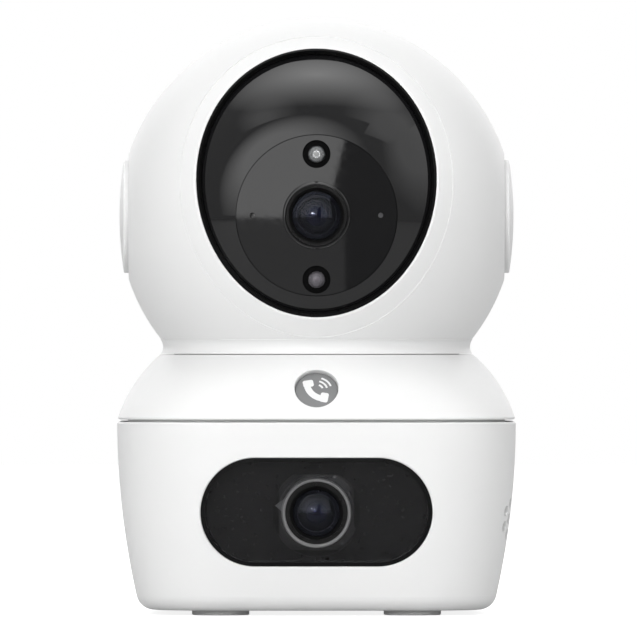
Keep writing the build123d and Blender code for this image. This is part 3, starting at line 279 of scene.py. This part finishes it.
def turned_piece(name, profile, centre, body, paint, steps=96):
    """A solid turned about the Y direction through centre. profile is (radius, y) in mm, closed."""
    mesh = bpy.data.meshes.new(name)
    shape = bmesh.new()
    turns = [2.0 * math.pi * step / steps for step in range(steps)]
    rings = []
    for radius, y in profile:
        if radius < ON_AXIS:
            rings.append([shape.verts.new((0.0, y * MM, 0.0))])
            continue
        rings.append([shape.verts.new((radius * MM * math.cos(t), y * MM, radius * MM * math.sin(t)))
                      for t in turns])
    hollow = profile[0][0] > ON_AXIS or profile[-1][0] > ON_AXIS
    following = rings[1:] + rings[:1] if hollow else rings[1:]
    for ring, other in zip(rings, following):
        for step in range(steps):
            corners = [ring[step % len(ring)], ring[(step + 1) % len(ring)],
                       other[(step + 1) % len(other)], other[step % len(other)]]
            unique = list(dict.fromkeys(corners))
            if len(unique) > 2:
                shape.faces.new(unique)
    bmesh.ops.recalc_face_normals(shape, faces=shape.faces)
    for face in shape.faces:
        face.smooth = True
    for edge in shape.edges:
        edge.smooth = edge.calc_face_angle(0.0) < SMOOTH_ANGLE
    bmesh.ops.translate(shape, verts=shape.verts, vec=Vector(centre))
    shape.to_mesh(mesh)
    shape.free()
    piece = bpy.data.objects.new(name, mesh)
    bpy.context.scene.collection.objects.link(piece)
    mesh.materials.append(paint.material)
    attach(piece, body)
    return piece


def arc_points(radius, y_apex, sag, steps=12):
    """Points of a spherical face from the axis to radius, its apex at y_apex and its rim sag behind."""
    curve = (radius ** 2 + sag ** 2) / (2.0 * sag)
    points = []
    for step in range(steps + 1):
        r = radius * step / steps
        points.append((r, y_apex + curve - math.sqrt(curve ** 2 - r ** 2)))
    return points


def front_centre(low, high):
    """The middle of the front of a box."""
    return ((low[0] + high[0]) / 2, low[1], (low[2] + high[2]) / 2)


# ---- lenses -------------------------------------------------------------------------------
# Depths are in mm and run back along Y: those of the front glass from its apex, the others from
# the barrel's rim.
FRONT_SAG = 1.3
BACK_APEX = 1.15
BACK_SAG = 0.75
GLASS_DEPTH = 2.15
CLEAR_SHARE = 0.72           # of the glass's radius, where its back starts to curve
MOUTH_SHARE = 0.74           # of the glass's radius, the baffle's open front
THROAT_R = 2.1
BAFFLE_STEPS = 5
BAFFLE_FRONT = 2.75
BAFFLE_THROAT = 3.85
BAFFLE_BACK = 4.15
STEP_LEAN = 0.08             # a step's wall leans in by this over its depth
STEP_WALL = 0.16
STEP_TREAD = 0.20            # the depth where the step's tread ends
SECOND_R = 2.05
SECOND_APEX = 3.3
SECOND_SAG = 0.55
SECOND_BACK = 4.9
# Profile of the lock ring: how far outside the glass's radius, and depth.
LOCK_RING = [(-0.02, 0.95), (-0.30, 0.62), (-0.05, 0.12), (0.42, 0.04), (0.42, 0.42), (0.06, 0.55)]
inner_black = moulded("lens_baffle_black", (0.0012, 0.0012, 0.0013), (0.0024, 0.0024, 0.0025),
                      (0.55, 0.75), 0.1 * MM, 0.004 * MM, Specular_IOR_Level=0.04)


def lens_details(prefix, body):
    """Meniscus front glass, a stepped baffle behind it, the coated second element and a lock ring."""
    low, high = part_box(prefix + "_lens_glass")
    barrel_low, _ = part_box(prefix + "_lens_barrel")
    centre = front_centre(low, high)
    radius = (high[0] - low[0]) / 2 / MM
    rim = (barrel_low[1] - low[1]) / MM

    clear_r = CLEAR_SHARE * radius
    front = arc_points(radius, 0.0, FRONT_SAG)
    back = arc_points(clear_r, BACK_APEX, BACK_SAG)
    profile = front + [(radius, GLASS_DEPTH), (clear_r, GLASS_DEPTH)] + back[-2::-1]
    glass = turned_piece(prefix + "_lens_front_element", profile, centre, body, front_glass)
    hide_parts(prefix + "_lens_glass")

    mouth = MOUTH_SHARE * radius
    narrowing = (mouth - THROAT_R) / BAFFLE_STEPS
    deepening = (BAFFLE_THROAT - BAFFLE_FRONT) / BAFFLE_STEPS
    profile = []
    for step in range(BAFFLE_STEPS):
        r = mouth - narrowing * step
        y = rim + BAFFLE_FRONT + deepening * step
        profile += [(r, y), (r - STEP_LEAN, y + STEP_WALL), (r - narrowing, y + STEP_TREAD)]
    profile += [(THROAT_R, rim + BAFFLE_BACK), (mouth, rim + BAFFLE_BACK)]
    turned_piece(prefix + "_lens_baffle", profile, centre, body, inner_black)

    profile = arc_points(SECOND_R, rim + SECOND_APEX, SECOND_SAG, 8)
    profile += [(SECOND_R, rim + SECOND_BACK), (0.0, rim + SECOND_BACK)]
    turned_piece(prefix + "_lens_second_element", profile, centre, body, rear_glass, 64)

    profile = [(radius + out, rim + y) for out, y in LOCK_RING]
    turned_piece(prefix + "_lens_lock_ring", profile, centre, body, inner_black)


lens_details("upper", "eye")
lens_details("lower", "base")

# ---- lamps --------------------------------------------------------------------------------
# Profiles of what is in and round a lamp: radius and depth behind the lamp's front, in mm.
LAMP_CUP = [(1.42, 0.95), (1.32, 0.95), (0.75, 1.75), (0.0, 1.75), (0.0, 2.1), (1.05, 2.1), (1.42, 1.25)]
LAMP_DIE = [(0.0, 1.35), (0.42, 1.38), (0.52, 1.5), (0.52, 1.74), (0.0, 1.74)]
LAMP_SHADE = [(1.68, 0.75), (1.80, 0.62), (2.55, 0.95), (2.76, 0.95), (2.76, 1.45), (1.68, 1.45)]
bright_cup = metal("lamp_cup_bright", (0.44, 0.44, 0.44), (0.56, 0.56, 0.55), (0.20, 0.35), (1, 1, 1))
dim_cup = metal("lamp_cup_dim", (0.10, 0.10, 0.105), (0.16, 0.16, 0.165), (0.25, 0.40), (1, 1, 1))
phosphor = moulded("lamp_phosphor", (0.24, 0.235, 0.22), (0.32, 0.31, 0.29), (0.5, 0.7),
                   0.1 * MM, 0.01 * MM)
infrared_die = moulded("lamp_infrared_die", (0.05, 0.03, 0.04), (0.09, 0.05, 0.06), (0.2, 0.4),
                       0.1 * MM, 0.005 * MM)


def lamp_details(node, cup_paint, die_paint):
    """Reflector cup and chip inside the lamp's resin, and a black shade in the panel's hole."""
    centre = front_centre(*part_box(node))
    turned_piece(node + "_cup", LAMP_CUP, centre, "eye", cup_paint, 64)
    turned_piece(node + "_die", LAMP_DIE, centre, "eye", die_paint, 48)
    turned_piece(node + "_shade", LAMP_SHADE, centre, "eye", inner_black, 64)


lamp_details("white_led", bright_cup, phosphor)
lamp_details("infrared_led", dim_cup, infrared_die)

# ---- studio, in metres -------------------------------------------------------------------
scene = bpy.context.scene
scene.view_settings.view_transform = "Standard"
scene.view_settings.look = "None"
scene.cycles.sample_clamp_indirect = 2.0


def studio_plane(name, corners, paint):
    """A flat stage piece through its corners, in metres."""
    mesh = bpy.data.meshes.new(name)
    mesh.from_pydata(corners, [], [tuple(range(len(corners)))])
    mesh.materials.append(paint.material)
    piece = bpy.data.objects.new(name, mesh)
    scene.collection.objects.link(piece)
    return piece


def lobe(paint, centre, half, inner, extra):
    """Radiance that is extra within an inner share of an ellipsoid and falls to nothing at its rim."""
    values = {"Vector": paint.place, "Location": [-c / h for c, h in zip(centre, half)],
              "Scale": [1.0 / h for h in half]}
    place = paint.node("ShaderNodeMapping", values).outputs["Vector"]
    distance = paint.node("ShaderNodeVectorMath", {0: place}, operation="LENGTH").outputs["Value"]
    return paint.spread(distance, extra, 0.0, inner, 1.0)


def softbox(name, corners, radiance, lobes=()):
    """A diffuser that lights the object and shows in its gloss, but not to the camera.

    Each of its lobes is a centre, half sizes, an inner share and extra radiance.
    """
    paint = Paint(name)
    level = paint.spread(paint.noise(0.5, 1.0), 0.97 * radiance, 1.03 * radiance)
    for shape in lobes:
        level = paint.math("ADD", level, lobe(paint, *shape))
    glow = paint.node("ShaderNodeEmission", {"Color": (1.0, 1.0, 1.0, 1.0), "Strength": level})
    paint.link(glow.outputs[0], paint.end.inputs["Surface"])
    piece = studio_plane(name, corners, paint)
    piece.visible_camera = False
    return piece


def upright(y, x_low, x_high, z_low, z_high):
    """Corners of an upright panel across Y."""
    return [(x_low, y, z_low), (x_high, y, z_low), (x_high, y, z_high), (x_low, y, z_high)]


def level_panel(z, x_low, x_high, y_low, y_high):
    """Corners of a level panel."""
    return [(x_low, y_low, z), (x_high, y_low, z), (x_high, y_high, z), (x_low, y_high, z)]


SKY = 0.45                   # radiance of the surroundings, which each falloff ends in
FLOOR_HALF = 3.0
floor_paint = Paint("floor_pale", Roughness=0.6)
floor_paint.colour(floor_paint.blend(floor_paint.noise(0.4, 3.0), (0.48, 0.48, 0.48), (0.50, 0.50, 0.50)))
seen = floor_paint.node("ShaderNodeLightPath").outputs["Is Camera Ray"]
glow = floor_paint.spread(seen, 0.1, 0.8, 0.0, 1.0)
floor_paint.link(glow, floor_paint.shader.inputs["Emission Strength"])
floor_paint.shader.inputs["Emission Color"].default_value = (1.0, 1.0, 1.0, 1.0)
studio_plane("floor", level_panel(0.0, -FLOOR_HALF, FLOOR_HALF, -FLOOR_HALF, FLOOR_HALF), floor_paint)

# The key softbox ends near the camera's axis, so its corner shows in the flat face round the lens.
# The low card is the grey below it, and the dark cards are the black at its right.
FRONT_Y = -1.2
KEY_LOW = 0.0875
KEY_X = 0.0024
KEY_OUTLINE = [(-0.3, KEY_LOW), (KEY_X, KEY_LOW), (0.2024, 0.9), (-0.3, 0.9)]
softbox("key_softbox", [(x, FRONT_Y, z) for x, z in KEY_OUTLINE], 2.4)
UPPER_Y = FRONT_Y - 0.02
softbox("upper_softbox", upright(UPPER_Y, -2.6, 1.3, KEY_LOW, 2.8), SKY,
        [((-0.7, UPPER_Y, 1.1), (1.7, 1.0, 1.5), 0.42, 2.05)])
softbox("left_softbox", upright(FRONT_Y + 0.01, -0.95, -0.3, 0.1, 1.0), 2.9)
LOW_LEFT_X = -0.08
LOW_RIGHT_X = 0.0078
softbox("low_card", upright(FRONT_Y, LOW_LEFT_X, LOW_RIGHT_X, 0.0, KEY_LOW), 0.57)
softbox("low_left_softbox", upright(FRONT_Y, -1.2, LOW_LEFT_X, 0.0, KEY_LOW), 1.9)
softbox("dark_card", upright(FRONT_Y, LOW_RIGHT_X, 0.2, 0.0, KEY_LOW), 0.2)
softbox("dark_side_card", upright(FRONT_Y - 0.01, -0.1, 0.2, 0.05, 0.5), 0.2)
softbox("right_softbox", upright(FRONT_Y, 0.2, 0.8, 0.0, 0.9), 2.1)
softbox("back_softbox", upright(1.5, -1.2, 1.2, 0.1, 1.4), 1.5)
SIDE_X = 1.3
SIDE_OUTLINE = [(-1.2, 0.0), (0.5, 0.0), (0.5, 1.9), (-1.2, 1.9)]
softbox("side_softbox", [(SIDE_X, y, z) for y, z in SIDE_OUTLINE], SKY,
        [((SIDE_X, -0.4, 1.0), (1.0, 0.85, 0.95), 0.4, 0.85)])
TOP_Z = 1.3
TOP_OUTLINE = [(-1.5, -0.6), (0.7, -0.6), (0.7, -0.85), (SIDE_X, -0.85), (SIDE_X, 0.4), (-1.5, 0.4)]
softbox("top_softbox", [(x, y, TOP_Z) for x, y in TOP_OUTLINE], SKY,
        [((0.0, 0.08, TOP_Z), (1.0, 0.545, 1.0), 0.0, 3.15),
         ((1.05, -0.45, TOP_Z), (0.75, 0.65, 1.0), 0.4, 0.85),
         ((-0.65, -0.5, TOP_Z), (0.45, 0.4, 1.0), 0.2, 0.75)])
ROUND_X, ROUND_Y, ROUND_Z = -0.17, -1.1, 0.17
ROUND_R = 0.05
ROUND_SIDES = 24
angles = [2 * math.pi * side / ROUND_SIDES for side in range(ROUND_SIDES)]
outline = [(ROUND_X + ROUND_R * math.cos(a), ROUND_Y, ROUND_Z + ROUND_R * math.sin(a)) for a in angles]
softbox("round_lamp", outline, 60.0)

world = bpy.data.worlds.new("studio")
scene.world = world
world.use_nodes = True
sky = world.node_tree
background = sky.nodes["Background"]
background.inputs["Color"].default_value = (1.0, 1.0, 1.0, 1.0)
rays = sky.nodes.new("ShaderNodeLightPath")
level = sky.nodes.new("ShaderNodeMapRange")
level.inputs["To Min"].default_value = SKY
level.inputs["To Max"].default_value = 1.0
sky.links.new(rays.outputs["Is Camera Ray"], level.inputs["Value"])
sky.links.new(level.outputs["Result"], background.inputs["Strength"])

# ---- camera -------------------------------------------------------------------------------
VIEW_WIDTH = 0.1287          # what the picture spans at the object's axis
VIEW_X = 0.0004
VIEW_Z = 0.0594
CAMERA_DISTANCE = 3.0
SENSOR_WIDTH = 36.0
camera_data = bpy.data.cameras.new("camera")
camera_data.sensor_width = SENSOR_WIDTH
camera_data.lens = SENSOR_WIDTH * CAMERA_DISTANCE / VIEW_WIDTH
camera_data.clip_start = 0.1
camera_data.clip_end = 20.0
camera = bpy.data.objects.new("camera", camera_data)
camera.location = (VIEW_X, -CAMERA_DISTANCE, VIEW_Z)
camera.rotation_euler = (math.pi / 2, 0.0, 0.0)
scene.collection.objects.link(camera)
scene.camera = camera
